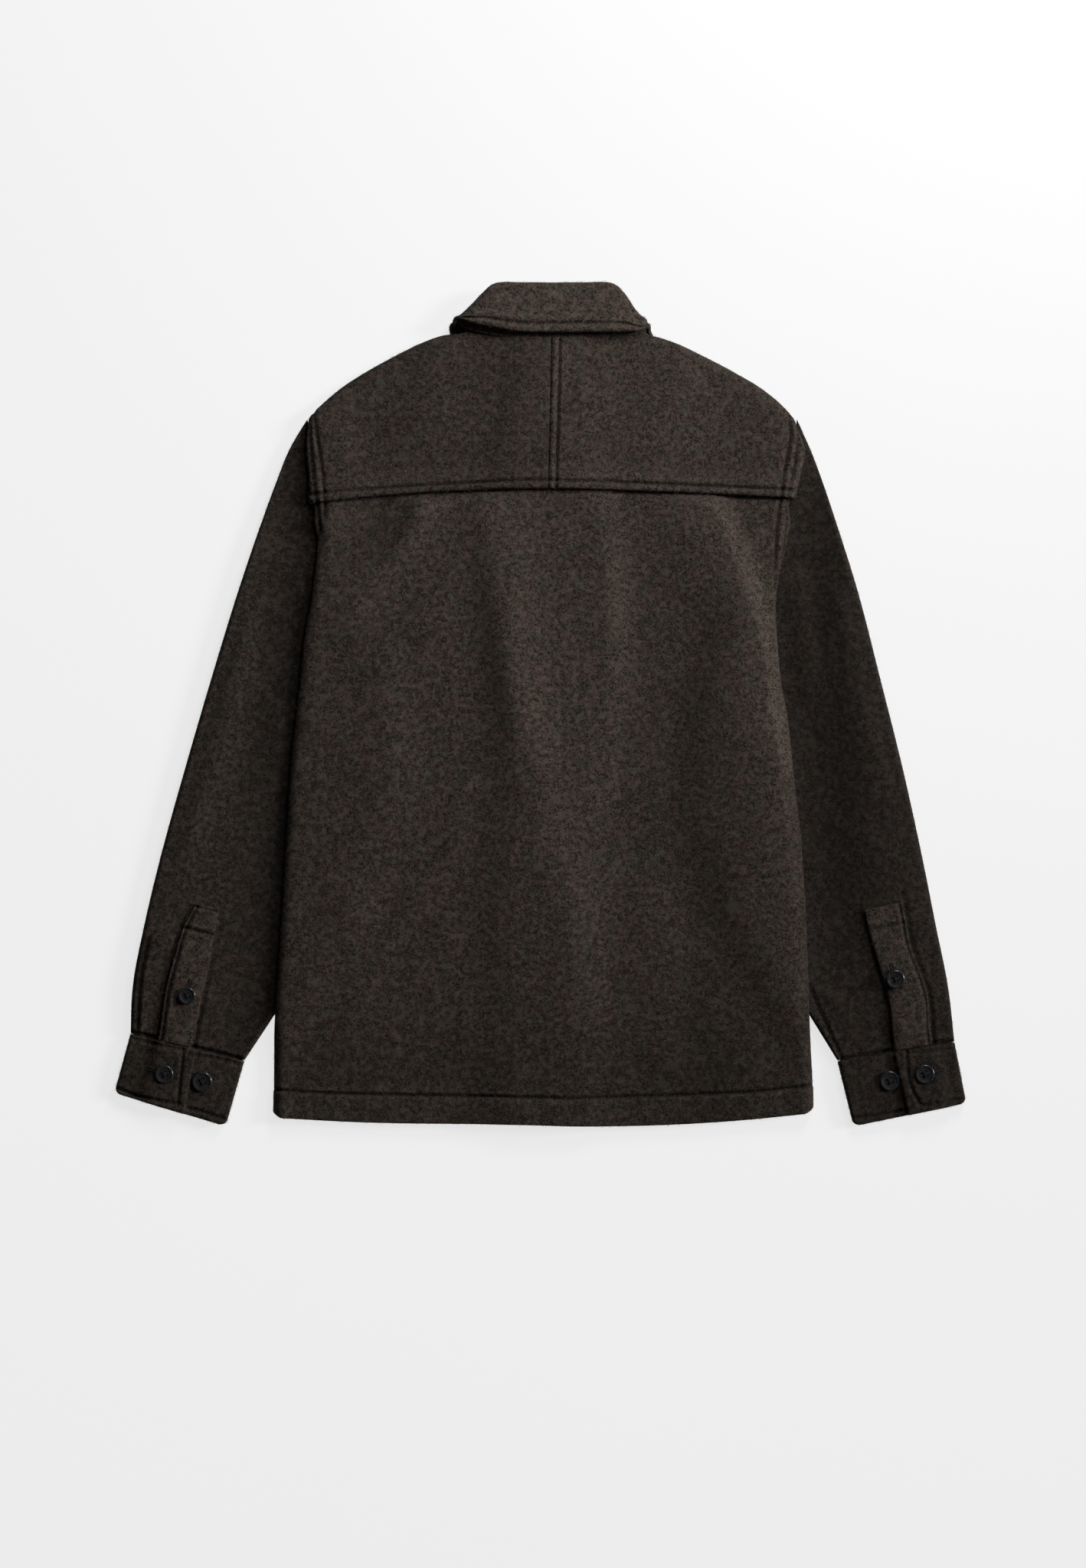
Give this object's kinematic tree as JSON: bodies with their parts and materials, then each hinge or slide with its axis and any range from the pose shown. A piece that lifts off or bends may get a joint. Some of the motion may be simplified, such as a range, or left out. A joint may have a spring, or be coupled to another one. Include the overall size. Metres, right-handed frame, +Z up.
{
  "type": "shacket",
  "caption": "Long-sleeved wool shirt jacket with a turn-down collar, split back yoke and buttoned cuffs, laid flat with its back up.",
  "frame": {"origin": "on the surface the garment lies on, below the middle of its box", "axes": "+Z up from the surface; +Y along the back, from the hem to the collar; +X to the right seen from above, along the spread of the sleeves"},
  "size_m": [0.791, 0.7858, 0.018],
  "materials": {
    "wool": "brushed",
    "button": "satin"
  },
  "bodies": {
    "root": {"back_panel": "wool", "yoke_left": "wool", "yoke_right": "wool", "front_left": "wool", "front_right": "wool", "front_placket": "wool", "sleeve_left": "wool", "sleeve_right": "wool", "sleeve_placket_left": "wool", "sleeve_placket_right": "wool", "cuff_left": "wool", "cuff_right": "wool", "collar_stand": "wool", "collar_fall": "wool", "left_cuff_button": "button", "left_spare_button": "button", "left_placket_button": "button", "right_cuff_button": "button", "right_spare_button": "button", "right_placket_button": "button", "front_button_1": "button", "front_button_2": "button", "front_button_3": "button", "front_button_4": "button", "front_button_5": "button", "front_button_6": "button"}
  },
  "joints": []
}
